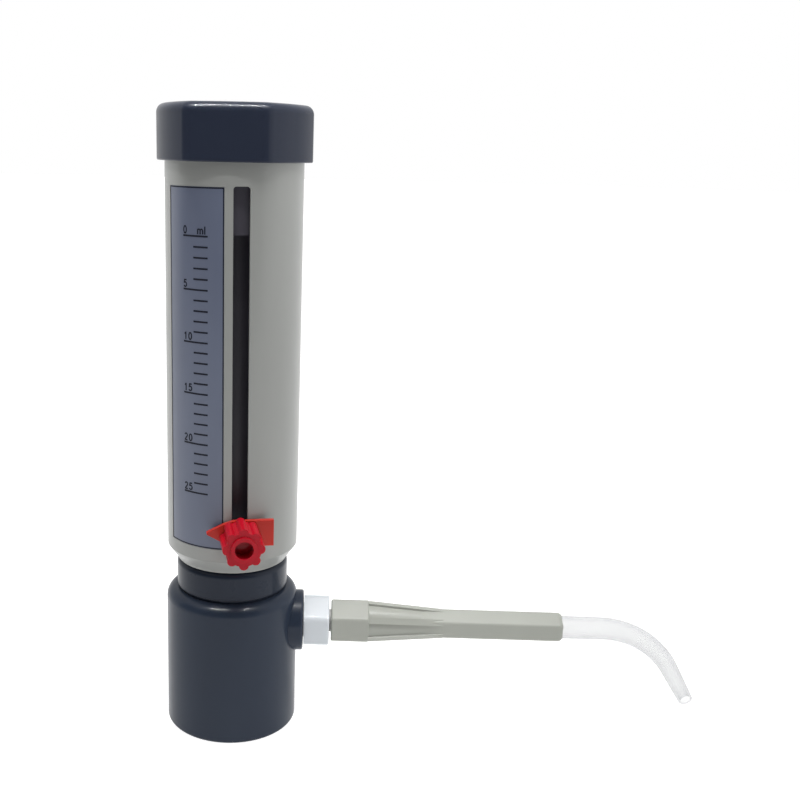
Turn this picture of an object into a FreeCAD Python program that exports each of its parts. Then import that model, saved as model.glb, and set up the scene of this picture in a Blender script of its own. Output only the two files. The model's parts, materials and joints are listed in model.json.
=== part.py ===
import FreeCAD, Part
import math
import os
import re
import Sketcher

# Bottle-top dispenser, 25 ml.  Millimetres.  Origin: centre of the base's underside.
# +Z is the plunger's axis, +X is the way the discharge arm points.

DOC = FreeCAD.newDocument("bottle_top_dispenser")
SIZES = DOC.addObject("Spreadsheet::Sheet", "Sizes")
NODES = []
WIRE_SIDES = 12  # of the spring wire's section
SIDES = 6  # of the cap, the nut, the collar and the arm's bar
SAME = 1e-4  # places closer together than this are one place
NEAR_END = 0.01  # how close to the jet's lowest place its tip edge starts
ALONG = 0.99  # least share of an edge's length that runs along its axis
WALL_EDGE = 0.5  # an edge through the sleeve's wall is longer than this

DRIVING = [
    # measuring cylinder and scale
    ("bore_radius", "9", "glass bore, 18 mm across"),
    ("full_volume", "25000", "cubic millimetres at the 25 mark"),
    ("mark_full_height", "105.8", "height of the 25 mark"),
    ("rest_mark_height", "90", "height of the knob as stored"),
    ("glass_wall", "2.5", ""),
    # base
    ("base_radius", "27", ""),
    ("base_height", "59.2", ""),
    ("shoulder_radius", "4.6", ""),
    ("base_edge", "1.2", ""),
    ("thread_radius", "22.75", "GL45 bottle thread, root of the female thread"),
    ("thread_length", "12", "threaded stretch, from the underside"),
    ("relief_radius", "23.3", "above the thread"),
    ("thread_runout", "0.6", "height of the cone between thread and relief"),
    ("neck_depth", "22", "room for the bottle's neck"),
    ("gasket_bore", "15", ""),
    ("block_radius", "20", ""),
    ("block_flange_radius", "22.55", ""),
    ("flange_thick", "2", ""),
    ("block_height", "31", "above its flange"),
    ("gasket_thick", "2", ""),
    ("fit_gap", "0.05", "radial clearance of running and assembled fits"),
    ("free_gap", "0.3", "gap between bodies that pass each other"),
    ("spill", "1", "how far a cutting tool runs past the face it cuts"),
    # neck, jacket and stop ring
    ("neck_radius", "22.7", ""),
    ("neck_height", "12.8", ""),
    ("neck_edge", "2.4", ""),
    ("neck_groove", "1", "height of the dark groove over the base"),
    ("neck_groove_depth", "0.8", ""),
    ("neck_groove_ramp", "0.5", ""),
    ("jacket_radius", "17", ""),
    ("jacket_wall", "2.5", ""),
    ("jacket_flange_radius", "19", ""),
    ("jacket_foot_bore", "14.6", "relief inside the flange"),
    ("jacket_flange_thick", "3", ""),
    ("stop_ring_thick", "20", ""),
    ("stop_ring_radius", "24.1", ""),
    ("stop_ring_bore", "9.6", ""),
    ("stop_spigot_length", "6", ""),
    # sleeve
    ("sleeve_radius", "26.5", ""),
    ("sleeve_wall", "2", ""),
    ("sleeve_foot_height", "72.4", "underside of the sleeve at rest"),
    ("sleeve_top_height", "244", ""),
    ("sleeve_foot_radius", "22.4", ""),
    ("foot_chamfer_low", "1", ""),
    ("foot_chamfer_high", "6", ""),
    ("foot_lip", "9", ""),
    ("foot_edge", "0.5", ""),
    ("lip_slope", "2", ""),
    ("bush_inset", "0.4", ""),
    ("lip_bore", "20", ""),
    ("spigot_radius", "25", "of the sleeve's threaded top"),
    ("spigot_wall", "2", ""),
    ("spigot_slope", "3", ""),
    ("slot_width", "6.2", ""),
    ("slot_corner", "1.2", ""),
    ("slot_low", "84.2", ""),
    ("slot_high", "222.1", ""),
    ("scale_turn", "10.8", "angle of the slot about the axis, from -Y"),
    # scale label
    ("label_first_angle", "-69.5", "from the slot's middle"),
    ("label_last_angle", "-13.6", ""),
    ("label_low", "83.7", ""),
    ("label_high", "221.8", ""),
    ("label_recess", "0.4", ""),
    ("label_thick", "0.3", ""),
    ("label_inset", "0.1", "gap around the label's edges"),
    # cap
    ("cap_low", "230.5", ""),
    ("cap_high", "251.4", ""),
    ("cap_apothem", "27.95", "to the middle of each side"),
    ("cap_side_radius", "58", "curvature of each side"),
    ("cap_corner", "7", ""),
    ("cap_top_edge", "3.4", ""),
    ("cap_low_edge", "0.6", ""),
    ("cap_turn", "-1", "angle of one side's middle from -Y"),
    ("cap_roof", "3.6", ""),
    ("cap_disc_radius", "17", ""),
    ("cap_disc_thick", "1", ""),
    # piston
    ("rod_radius", "6", ""),
    ("rod_flange_radius", "22.8", ""),
    ("rod_flange_thick", "3", ""),
    ("rod_flange_slope", "2", ""),
    ("head_length", "14", ""),
    ("head_low", "54", ""),
    ("floor_gap", "1", "between the glass's foot and the piston at its lowest"),
    ("seal_section", "1.1", "radius of a ring's section"),
    ("seal_clearance", "0.03", ""),
    ("first_seal", "3", "from the head's foot"),
    ("second_seal", "9", ""),
    ("head_chamfer", "1.2", ""),
    ("head_nose", "2", ""),
    ("screw_hole_gap", "0.2", ""),
    ("cap_disc_gap", "0.1", ""),
    ("screw_radius", "2.5", ""),
    ("screw_length", "12", ""),
    ("screw_head_radius", "4.5", ""),
    ("screw_head_thick", "2.4", ""),
    # pointer
    ("plate_thick", "2", ""),
    ("plate_low", "-3.9", "from the knob's axis"),
    ("plate_high", "6.5", ""),
    ("plate_right", "13", ""),
    ("plate_shoulder", "-2.6", ""),
    ("plate_root", "-6.6", ""),
    ("root_low", "4", "below the arrow's point"),
    ("root_high", "3.3", ""),
    ("root_step", "1.4", ""),
    ("arrow_tip", "-12.9", ""),
    ("arrow_tip_blunt", "0.35", ""),
    ("arrow_height", "1.9", "of the arrow's point, above the knob's axis"),
    ("guide_height", "9", ""),
    ("guide_width", "5.8", ""),
    ("clamp_width", "10", ""),
    ("clamp_height", "4.4", ""),
    ("clamp_inner", "18.3", ""),
    ("knob_radius", "8.1", ""),
    ("knob_core_radius", "6.7", ""),
    ("knob_lobe_radius", "1.85", ""),
    ("knob_lobes", "8", ""),
    ("stud_end_gap", "0.6", ""),
    ("knob_rim_root", "1", ""),
    ("knob_length", "13", ""),
    ("knob_rim_radius", "5", ""),
    ("knob_rim_length", "0.9", ""),
    ("knob_hole_radius", "3.5", ""),
    ("knob_hole_depth", "5.5", ""),
    ("stud_radius", "2", ""),
    # side outlet
    ("arm_height", "43.1", ""),
    ("boss_radius", "12.5", ""),
    ("boss_reach", "30", ""),
    ("boss_edge", "1", ""),
    ("boss_bore", "8.6", ""),
    ("outlet_start", "9", ""),
    ("outlet_seal_thick", "1", ""),
    ("outlet_seat", "3", "from the seal to the ball's seat"),
    ("outlet_ball_stand", "6.3", "from the start to the ball's middle"),
    ("spring_coil_radius", "2.1", ""),
    ("spring_wire_radius", "0.3", ""),
    ("spring_pitch", "2.1", ""),
    ("spring_gap", "0.4", "between the ball and the spring's end"),
    ("plug_depth", "4", "of the arm's spigot in the valve body"),
    ("outlet_tail_radius", "5.4", ""),
    ("outlet_flange_radius", "8.5", ""),
    ("outlet_nose_radius", "7", ""),
    ("outlet_end", "37.5", ""),
    ("passage_radius", "1.6", ""),
    ("ball_radius", "2.5", ""),
    ("chamber_radius", "2.9", ""),
    ("nut_apothem", "10.1", ""),
    ("nut_corner", "2.6", ""),
    ("nut_length", "10.5", ""),
    ("nut_roof", "1.6", ""),
    ("nut_turn", "5", ""),
    ("nut_edge", "0.8", ""),
    ("nut_gap", "0.3", ""),
    # discharge arm
    ("spigot_flange_radius", "6.6", ""),
    ("spigot_neck_radius", "4.6", ""),
    ("spigot_plug_radius", "2.8", ""),
    ("collar_start", "41.7", ""),
    ("collar_length", "15.5", ""),
    ("collar_apothem", "8.5", ""),
    ("collar_corner", "1.6", ""),
    ("bar_apothem", "5.85", ""),
    ("bar_corner", "1.2", ""),
    ("bar_end", "138.1", ""),
    ("bar_end_edge", "2.2", ""),
    ("arm_turn", "3", ""),
    ("rib_length", "31", ""),
    ("rib_reach", "9", ""),
    ("arm_core_radius", "8.2", "of the core between the ribs, at the collar"),
    ("arm_core_end_radius", "5.4", "where it has run out under the bar's faces"),
    ("rib_thick", "2.6", ""),
    ("rib_root", "1", "sunk into the bar"),
    ("rib_end_height", "0.3", ""),
    ("rib_overlap", "1.5", "into the collar"),
    ("collar_edge", "0.6", ""),
    ("spigot_seat_depth", "8", ""),
    ("arm_bore", "2.2", ""),
    # discharge jet
    ("jet_radius", "4.85", ""),
    ("jet_bend_tube_radius", "4.6", "where the bend starts"),
    ("jet_wall", "1", ""),
    ("jet_tip_radius", "3", ""),
    ("jet_tip_wall", "0.9", ""),
    ("jet_tip_edge", "0.7", "rounding of the tip's rim"),
    ("jet_socket", "22", "length held inside the arm"),
    ("jet_end_gap", "0.5", ""),
    ("jet_straight", "16.4", ""),
    ("jet_bend_radius", "35", ""),
    ("jet_bend_angle", "59.5", ""),
    ("jet_tail", "17", ""),
    # inlet
    ("inlet_head_radius", "8", ""),
    ("inlet_head_thick", "4", ""),
    ("inlet_tail_radius", "5.4", ""),
    ("inlet_tail_length", "9", ""),
    ("nipple_radius", "3", ""),
    ("nipple_length", "7.2", ""),
    ("cage_length", "6.5", ""),
    ("ball_lift", "1.5", ""),
    ("ball_stand", "1.2", "from the seat to the ball's middle"),
    ("cage_hole_radius", "1.2", ""),
    ("seat_inset", "0.2", "the seat's edge inside the ball's radius"),
    ("nipple_lead", "0.5", ""),
    ("nipple_lead_length", "1.5", ""),
    ("throat_radius", "2.5", "from the inlet cage up to the cylinder"),
    ("throat_cone", "3", ""),
    ("cylinder_seal_thick", "1.5", ""),
]

WORKED_OUT = [
    ("scale_length", "=full_volume / (pi * bore_radius * bore_radius)"),
    ("mark_zero_height", "=mark_full_height + scale_length"),
    ("knob_zero_height", "=mark_zero_height - arrow_height"),
    ("stop_low", "=knob_zero_height + clamp_height / 2 + free_gap"),
    ("stop_high", "=stop_low + stop_ring_thick"),
    ("block_low", "=neck_depth + gasket_thick"),
    ("block_high", "=block_low + flange_thick + block_height"),
    ("glass_radius", "=bore_radius + glass_wall"),
    ("glass_seat", "=head_low - floor_gap - cylinder_seal_thick"),
    ("glass_low", "=glass_seat + cylinder_seal_thick"),
    ("neck_top", "=base_height + neck_height"),
    ("jacket_bore", "=jacket_radius - jacket_wall"),
    ("sleeve_bore", "=sleeve_radius - sleeve_wall"),
    ("cap_bore", "=spigot_radius + fit_gap"),
    ("cap_ceiling", "=cap_high - cap_roof"),
    ("rod_low", "=head_low + head_length"),
    ("knob_start", "=sleeve_radius + free_gap + plate_thick + free_gap"),
    ("inlet_seat", "=block_low + inlet_tail_length"),
    ("nut_start", "=boss_reach + nut_gap"),
    ("nut_end", "=nut_start + nut_length"),
    ("screw_head_low", "=cap_high - cap_disc_thick - cap_disc_gap - screw_head_thick"),
]


def fill_sheet():
    """Write the driving sizes, then the sizes worked out from them."""
    row = 1
    for name, value, note in DRIVING:
        SIZES.set("A%d" % row, name)
        SIZES.set("B%d" % row, value)
        SIZES.set("C%d" % row, note)
        SIZES.setAlias("B%d" % row, name)
        row += 1
    DOC.recompute()
    for name, formula in WORKED_OUT:
        SIZES.set("A%d" % row, name)
        SIZES.set("B%d" % row, formula)
        SIZES.setAlias("B%d" % row, name)
        DOC.recompute()
        row += 1


ALIASES = [row[0] for row in DRIVING] + [row[0] for row in WORKED_OUT]


def cells(expression):
    """Point each alias in an expression at the sheet: a + b becomes Sizes.a + Sizes.b."""
    return re.sub(r"[a-z_]+", cell, expression)


def cell(match):
    word = match.group(0)
    return "Sizes." + word if word in ALIASES else word


def number(expression):
    """The present value of an expression of aliases."""
    value = SIZES.evalExpression(cells(expression))
    return float(getattr(value, "Value", value))


def bind(thing, prop, expression):
    thing.setExpression(prop, cells(expression))


def keep(thing, label):
    """Mark a finished object as a sub-part to export."""
    thing.Label = label
    NODES.append(thing)
    return thing


def origin_plane(body, role):
    for feature in body.Origin.OriginFeatures:
        if feature.Role == role:
            return feature
    raise ValueError(role)


def sketch_on(body, name, role):
    sketch = body.newObject("Sketcher::SketchObject", name)
    sketch.AttachmentSupport = [(origin_plane(body, role), "")]
    sketch.MapMode = "FlatFace"
    return sketch


def polygon_sketch(sketch, points):
    """Closed outline whose corners are pairs of expressions, each held by two constraints."""
    values = [FreeCAD.Vector(number(across), number(up), 0) for across, up in points]
    count = len(values)
    for index in range(count):
        start = values[index]
        end = values[(index + 1) % count]
        sketch.addGeometry(Part.LineSegment(start, end), False)
    for index in range(count):
        sketch.addConstraint(
            Sketcher.Constraint("Coincident", index, 2, (index + 1) % count, 1)
        )
    for index, (across, up) in enumerate(points):
        hold_corner(sketch, index, "DistanceX", across, -2)
        hold_corner(sketch, index, "DistanceY", up, -1)
    return sketch


def hold_corner(sketch, index, kind, expression, zero_axis):
    if expression == "0":
        sketch.addConstraint(Sketcher.Constraint("PointOnObject", index, 1, zero_axis))
        return
    value = number(expression)
    number_of_constraint = sketch.addConstraint(
        Sketcher.Constraint(kind, -1, 1, index, 1, value)
    )
    sketch.setExpression("Constraints[%d]" % number_of_constraint, cells(expression))


def circle_sketch(sketch, across, up, radius):
    centre = FreeCAD.Vector(number(across), number(up), 0)
    sketch.addGeometry(
        Part.Circle(centre, FreeCAD.Vector(0, 0, 1), number(radius)), False
    )
    for kind, expression, zero_axis in (("DistanceX", across, -2), ("DistanceY", up, -1)):
        if expression == "0":
            sketch.addConstraint(Sketcher.Constraint("PointOnObject", 0, 3, zero_axis))
        else:
            held = sketch.addConstraint(
                Sketcher.Constraint(kind, -1, 1, 0, 3, number(expression))
            )
            sketch.setExpression("Constraints[%d]" % held, cells(expression))
    held = sketch.addConstraint(Sketcher.Constraint("Radius", 0, number(radius)))
    sketch.setExpression("Constraints[%d]" % held, cells(radius))
    return sketch


def revolve(body, name, points):
    """Add material turned about the body's Z axis; points are (radius, height) expressions."""
    sketch = polygon_sketch(sketch_on(body, name + "_outline", "XZ_Plane"), points)
    turned = body.newObject("PartDesign::Revolution", name)
    turned.Profile = sketch
    turned.ReferenceAxis = (sketch, ["V_Axis"])
    turned.Angle = 360
    DOC.recompute()
    return turned


def groove(body, name, points):
    """Remove material turned about the body's Z axis."""
    sketch = polygon_sketch(sketch_on(body, name + "_outline", "XZ_Plane"), points)
    cut = body.newObject("PartDesign::Groove", name)
    cut.Profile = sketch
    cut.ReferenceAxis = (sketch, ["V_Axis"])
    cut.Angle = 360
    DOC.recompute()
    return cut


def turned_body(label, points):
    """A body made by one revolution."""
    body = DOC.addObject("PartDesign::Body", label + "_body")
    revolve(body, label + "_turning", points)
    return keep(body, label)


def on_arm_axis(thing, turn="0"):
    """Lay a part that was built about Z along the discharge arm, which points to +X."""
    thing.Placement = FreeCAD.Placement(
        FreeCAD.Vector(0, 0, number("arm_height")),
        FreeCAD.Rotation(FreeCAD.Vector(0, 1, 0), 90)
        * FreeCAD.Rotation(FreeCAD.Vector(0, 0, 1), number(turn)),
    )
    bind(thing, "Placement.Base.z", "arm_height")


def turn_with_scale(thing):
    """Turn a part that was built facing -Y to where the scale faces."""
    thing.Placement = FreeCAD.Placement(
        FreeCAD.Vector(0, 0, 0),
        FreeCAD.Rotation(FreeCAD.Vector(0, 0, 1), number("scale_turn")),
    )


def cylinder(name, radius, height, base="0"):
    tool = DOC.addObject("Part::Cylinder", name)
    bind(tool, "Radius", radius)
    bind(tool, "Height", height)
    bind(tool, "Placement.Base.z", base)
    return tool


def sideways_cylinder(name, radius, start, height, up):
    """A cylinder along -Y, starting at a distance from the axis."""
    tool = DOC.addObject("Part::Cylinder", name)
    tool.Placement = FreeCAD.Placement(
        FreeCAD.Vector(0, 0, 0), FreeCAD.Rotation(FreeCAD.Vector(1, 0, 0), 90)
    )
    bind(tool, "Radius", radius)
    bind(tool, "Height", height)
    bind(tool, "Placement.Base.y", "0 - ( " + start + " )")
    bind(tool, "Placement.Base.z", up)
    return tool


def box(name, sizes, corner):
    tool = DOC.addObject("Part::Box", name)
    for prop, expression in zip(("Length", "Width", "Height"), sizes):
        bind(tool, prop, expression)
    for axis, expression in zip("xyz", corner):
        bind(tool, "Placement.Base." + axis, expression)
    return tool


def cut(name, base, tool):
    result = DOC.addObject("Part::Cut", name)
    result.Base = base
    result.Tool = tool
    DOC.recompute()
    return result


def fuse(name, parts):
    result = DOC.addObject("Part::MultiFuse", name)
    result.Shapes = parts
    result.Refine = True
    DOC.recompute()
    return result


def common(name, parts):
    result = DOC.addObject("Part::MultiCommon", name)
    result.Shapes = parts
    DOC.recompute()
    return result


def rounded(name, base, radius, wanted):
    """Round the edges of base for which wanted(edge) is true."""
    result = DOC.addObject("Part::Fillet", name)
    result.Base = base
    size = number(radius)
    result.Edges = [
        (index + 1, size, size)
        for index, edge in enumerate(base.Shape.Edges)
        if wanted(edge)
    ]
    DOC.recompute()
    return result


def is_upright(edge):
    ends = edge.Vertexes
    if len(ends) != 2:
        return False
    step = ends[1].Point - ends[0].Point
    return step.Length > SAME and abs(step.z) > ALONG * step.Length


def lies_at(height):
    """Test for edges that lie in the level plane at a height."""
    level = number(height)

    def test(edge):
        bounds = edge.BoundBox
        return abs(bounds.ZMin - level) < SAME and abs(bounds.ZMax - level) < SAME

    return test


# ---------------------------------------------------------------- fixed body


def base_housing():
    """Screw-on skirt with a rounded shoulder and the round side boss."""
    body = DOC.addObject("PartDesign::Body", "base_housing_body")
    revolve(body, "housing_skin", [
        ("0", "0"),
        ("base_radius", "0"),
        ("base_radius", "base_height"),
        ("0", "base_height"),
    ])
    edges_high = body.Tip.Shape.Edges
    round_edges(body, "housing_shoulder", edges_high, lies_at("base_height"), "shoulder_radius")
    round_edges(body, "housing_foot", body.Tip.Shape.Edges, lies_at("0"), "base_edge")
    sketch = sketch_on(body, "boss_outline", "YZ_Plane")
    circle_sketch(sketch, "0", "arm_height", "boss_radius")
    boss = body.newObject("PartDesign::Pad", "housing_boss")
    boss.Profile = sketch
    bind(boss, "Length", "boss_reach")
    DOC.recompute()
    reach = number("boss_reach")
    round_edges(
        body,
        "housing_boss_edge",
        body.Tip.Shape.Edges,
        lambda edge: abs(edge.BoundBox.XMin - reach) < SAME,
        "boss_edge",
    )
    groove(body, "housing_thread_bore", [
        ("0", "0"),
        ("thread_radius", "0"),
        ("thread_radius", "thread_length"),
        ("relief_radius", "thread_length + thread_runout"),
        ("relief_radius", "block_low + flange_thick"),
        ("block_radius + fit_gap", "block_low + flange_thick"),
        ("block_radius + fit_gap", "base_height"),
        ("0", "base_height"),
    ])
    sketch = sketch_on(body, "boss_bore_outline", "YZ_Plane")
    circle_sketch(sketch, "0", "arm_height", "boss_bore")
    hole = body.newObject("PartDesign::Pocket", "housing_boss_bore")
    hole.Profile = sketch
    hole.Reversed = True
    bind(hole, "Length", "boss_reach + spill")
    DOC.recompute()
    keep(body, "base_housing")


def round_edges(body, name, edges, wanted, radius):
    """Fillet the body's edges that pass the test."""
    names = ["Edge%d" % (index + 1) for index, edge in enumerate(edges) if wanted(edge)]
    fillet = body.newObject("PartDesign::Fillet", name)
    fillet.Base = (body_previous(body, fillet), names)
    bind(fillet, "Radius", radius)
    DOC.recompute()
    return fillet


def body_previous(body, feature):
    """The solid feature that comes before the given one in the body."""
    solids = [item for item in body.Group if item.isDerivedFrom("PartDesign::Feature")]
    return solids[solids.index(feature) - 1]


def bottle_gasket():
    turned_body("bottle_gasket", [
        ("gasket_bore", "neck_depth"),
        ("block_flange_radius", "neck_depth"),
        ("block_flange_radius", "block_low"),
        ("gasket_bore", "block_low"),
    ])


def valve_block():
    """Carries the inlet valve, the way to the outlet, and the glass cylinder's seat."""
    inlet_top = "inlet_seat + cage_length"
    block = DOC.addObject("PartDesign::Body", "valve_block_body")
    revolve(block, "block_turning", [
        ("inlet_tail_radius + fit_gap", "block_low"),
        ("block_flange_radius", "block_low"),
        ("block_flange_radius", "block_low + flange_thick"),
        ("block_radius", "block_low + flange_thick"),
        ("block_radius", "block_high"),
        ("glass_radius + fit_gap", "block_high"),
        ("glass_radius + fit_gap", "glass_seat"),
        ("bore_radius", "glass_seat"),
        ("throat_radius", "glass_seat - throat_cone"),
        ("throat_radius", inlet_top),
        ("inlet_tail_radius + fit_gap", inlet_top),
    ])
    sketch = sketch_on(block, "outlet_way_outline", "YZ_Plane")
    circle_sketch(sketch, "0", "arm_height", "passage_radius")
    way = block.newObject("PartDesign::Pocket", "outlet_way")
    way.Profile = sketch
    way.Reversed = True
    bind(way, "Length", "block_radius + spill")
    DOC.recompute()
    start = origin_offset_sketch(block, "outlet_socket_outline", "outlet_start - fit_gap")
    circle_sketch(start, "0", "arm_height", "outlet_tail_radius + fit_gap")
    socket = block.newObject("PartDesign::Pocket", "outlet_socket")
    socket.Profile = start
    socket.Reversed = True
    bind(socket, "Length", "block_radius + spill")
    DOC.recompute()
    keep(block, "valve_block")


def origin_offset_sketch(body, name, distance):
    """A sketch parallel to the YZ plane, at a distance along +X."""
    sketch = sketch_on(body, name, "YZ_Plane")
    bind(sketch, "AttachmentOffset.Base.z", distance)
    return sketch


def inlet_valve_body():
    """Screws up into the valve block; the suction tube pushes on its nipple."""
    tip = "block_low - inlet_head_thick - nipple_length"
    turned_body("inlet_valve_body", [
        ("passage_radius", tip),
        ("nipple_radius - nipple_lead", tip),
        ("nipple_radius", tip + " + nipple_lead_length"),
        ("nipple_radius", "block_low - inlet_head_thick"),
        ("inlet_head_radius", "block_low - inlet_head_thick"),
        ("inlet_head_radius", "block_low - fit_gap"),
        ("inlet_tail_radius", "block_low - fit_gap"),
        ("inlet_tail_radius", "inlet_seat"),
        ("ball_radius - seat_inset", "inlet_seat"),
        ("passage_radius", "inlet_seat - passage_radius"),
    ])


def inlet_ball():
    ball = DOC.addObject("Part::Sphere", "inlet_ball_shape")
    bind(ball, "Radius", "ball_radius")
    bind(ball, "Placement.Base.z", "inlet_seat + ball_stand")
    keep(ball, "inlet_ball")


def inlet_ball_cage():
    """Guides the inlet ball and limits its lift."""
    ceiling = "inlet_seat + ball_stand + ball_radius + ball_lift + free_gap"
    turned_body("inlet_ball_cage", [
        ("chamber_radius", "inlet_seat + fit_gap"),
        ("inlet_tail_radius", "inlet_seat + fit_gap"),
        ("inlet_tail_radius", "inlet_seat + cage_length - fit_gap"),
        ("cage_hole_radius", "inlet_seat + cage_length - fit_gap"),
        ("cage_hole_radius", ceiling),
        ("chamber_radius", ceiling),
    ])


def cylinder_seal():
    turned_body("cylinder_seal", [
        ("bore_radius + free_gap", "glass_seat"),
        ("glass_radius", "glass_seat"),
        ("glass_radius", "glass_low"),
        ("bore_radius + free_gap", "glass_low"),
    ])


def glass_cylinder():
    turned_body("glass_cylinder", [
        ("bore_radius", "glass_low"),
        ("glass_radius", "glass_low"),
        ("glass_radius", "stop_low - free_gap"),
        ("bore_radius", "stop_low - free_gap"),
    ])


def cylinder_jacket():
    """Dark tube around the glass; the sleeve's bush runs on it."""
    turned_body("cylinder_jacket", [
        ("jacket_foot_bore", "block_high"),
        ("jacket_flange_radius", "block_high"),
        ("jacket_flange_radius", "block_high + jacket_flange_thick"),
        ("jacket_radius", "block_high + jacket_flange_thick"),
        ("jacket_radius", "stop_low"),
        ("jacket_bore", "stop_low"),
        ("jacket_bore", "block_high + jacket_flange_thick"),
        ("jacket_foot_bore", "block_high + jacket_flange_thick"),
    ])


def neck_ring():
    """Holds the jacket's flange down; its foot sits in the housing's mouth."""
    flange_top = "block_high + jacket_flange_thick + fit_gap"
    body = turned_body("neck_ring", [
        ("jacket_flange_radius + fit_gap", "block_high + fit_gap"),
        ("block_radius", "block_high + fit_gap"),
        ("block_radius", "base_height"),
        ("neck_radius - neck_groove_depth", "base_height"),
        ("neck_radius - neck_groove_depth", "base_height + neck_groove"),
        ("neck_radius", "base_height + neck_groove + neck_groove_ramp"),
        ("neck_radius", "neck_top"),
        ("jacket_radius + fit_gap", "neck_top"),
        ("jacket_radius + fit_gap", flange_top),
        ("jacket_flange_radius + fit_gap", flange_top),
    ])
    bore = number("jacket_radius + free_gap")
    round_edges(
        body,
        "neck_top_edge",
        body.Tip.Shape.Edges,
        lambda edge: lies_at("neck_top")(edge) and edge.BoundBox.XMax > bore,
        "neck_edge",
    )


def stop_ring():
    """Tall collar that closes the jacket's top; its foot stops the pointer's clamp block."""
    turned_body("stop_ring", [
        ("glass_radius + fit_gap", "stop_low - stop_spigot_length"),
        ("jacket_bore - fit_gap", "stop_low - stop_spigot_length"),
        ("jacket_bore - fit_gap", "stop_low"),
        ("stop_ring_radius", "stop_low"),
        ("stop_ring_radius", "stop_high"),
        ("stop_ring_bore", "stop_high"),
        ("stop_ring_bore", "stop_low"),
        ("glass_radius + fit_gap", "stop_low"),
    ])


# ---------------------------------------------------------------- side outlet


def outlet_valve_body():
    """Screws through the boss into the valve block, and carries the union nut."""
    tail = "outlet_start + outlet_seal_thick"
    body = turned_body("outlet_valve_body", [
        ("passage_radius", tail),
        ("outlet_tail_radius", tail),
        ("outlet_tail_radius", "block_radius + free_gap"),
        ("outlet_flange_radius", "block_radius + free_gap"),
        ("outlet_flange_radius", "boss_reach"),
        ("outlet_nose_radius", "boss_reach"),
        ("outlet_nose_radius", "outlet_end"),
        ("chamber_radius", "outlet_end"),
        ("chamber_radius", tail + " + outlet_seat + passage_radius"),
        ("passage_radius", tail + " + outlet_seat"),
    ])
    on_arm_axis(body)


def outlet_seal():
    """Flat ring at the bottom of the valve block's side socket."""
    ring = turned_body("outlet_seal", [
        ("passage_radius + free_gap", "outlet_start"),
        ("outlet_tail_radius", "outlet_start"),
        ("outlet_tail_radius", "outlet_start + outlet_seal_thick"),
        ("passage_radius + free_gap", "outlet_start + outlet_seal_thick"),
    ])
    on_arm_axis(ring)


def outlet_ball():
    ball = DOC.addObject("Part::Sphere", "outlet_ball_shape")
    bind(ball, "Radius", "ball_radius")
    bind(ball, "Placement.Base.x", "outlet_start + outlet_ball_stand")
    bind(ball, "Placement.Base.z", "arm_height")
    keep(ball, "outlet_ball")


def union_nut():
    """Six-sided nut with rounded corners; its inner shoulder holds the arm's spigot."""
    prism = hexagon("nut_blank", "nut_apothem", "nut_length", "nut_start")
    blank = rounded("nut_blank_rounded", prism, "nut_corner", is_upright)
    eased = rounded("nut_eased", blank, "nut_edge", lies_at("nut_end"))
    bore = fuse("nut_bores", [
        cylinder("nut_cavity", "outlet_nose_radius + free_gap", "nut_length - nut_roof", "nut_start"),
        cylinder("nut_mouth", "spigot_neck_radius + free_gap", "nut_length", "nut_start"),
    ])
    nut = cut("union_nut_shape", eased, bore)
    on_arm_axis(nut, "nut_turn")
    keep(nut, "union_nut")


def hexagon(name, apothem, length, base):
    prism = DOC.addObject("Part::Prism", name)
    prism.Polygon = SIDES
    bind(prism, "Circumradius", apothem + " / cos(30 deg)")
    bind(prism, "Height", length)
    bind(prism, "Placement.Base.z", base)
    DOC.recompute()
    return prism


# ---------------------------------------------------------------- discharge arm


def arm_spigot():
    """Flanged insert that plugs into the valve body; the union nut pulls on its flange."""
    shoulder = "nut_end - nut_roof - free_gap"
    body = turned_body("arm_spigot", [
        ("arm_bore", "outlet_end - plug_depth"),
        ("spigot_plug_radius", "outlet_end - plug_depth"),
        ("spigot_plug_radius", "outlet_end + free_gap"),
        ("spigot_flange_radius", "outlet_end + free_gap"),
        ("spigot_flange_radius", shoulder),
        ("spigot_neck_radius", shoulder),
        ("spigot_neck_radius", "collar_start + spigot_seat_depth"),
        ("arm_bore", "collar_start + spigot_seat_depth"),
    ])
    on_arm_axis(body)


def arm_rib():
    """One tapering rib, standing on the bar's corner."""
    rib_start = "collar_start + collar_length - rib_overlap"
    rib_end = "collar_start + collar_length + rib_length"
    rib = DOC.addObject("PartDesign::Body", "arm_rib_body")
    sketch = polygon_sketch(sketch_on(rib, "rib_outline", "XZ_Plane"), [
        ("bar_apothem - rib_root", rib_start),
        ("rib_reach", rib_start),
        ("bar_apothem + rib_end_height", rib_end),
        ("bar_apothem - rib_root", rib_end),
    ])
    pad = rib.newObject("PartDesign::Pad", "rib_pad")
    pad.Profile = sketch
    pad.Midplane = True
    bind(pad, "Length", "rib_thick")
    DOC.recompute()
    return rib


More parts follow.
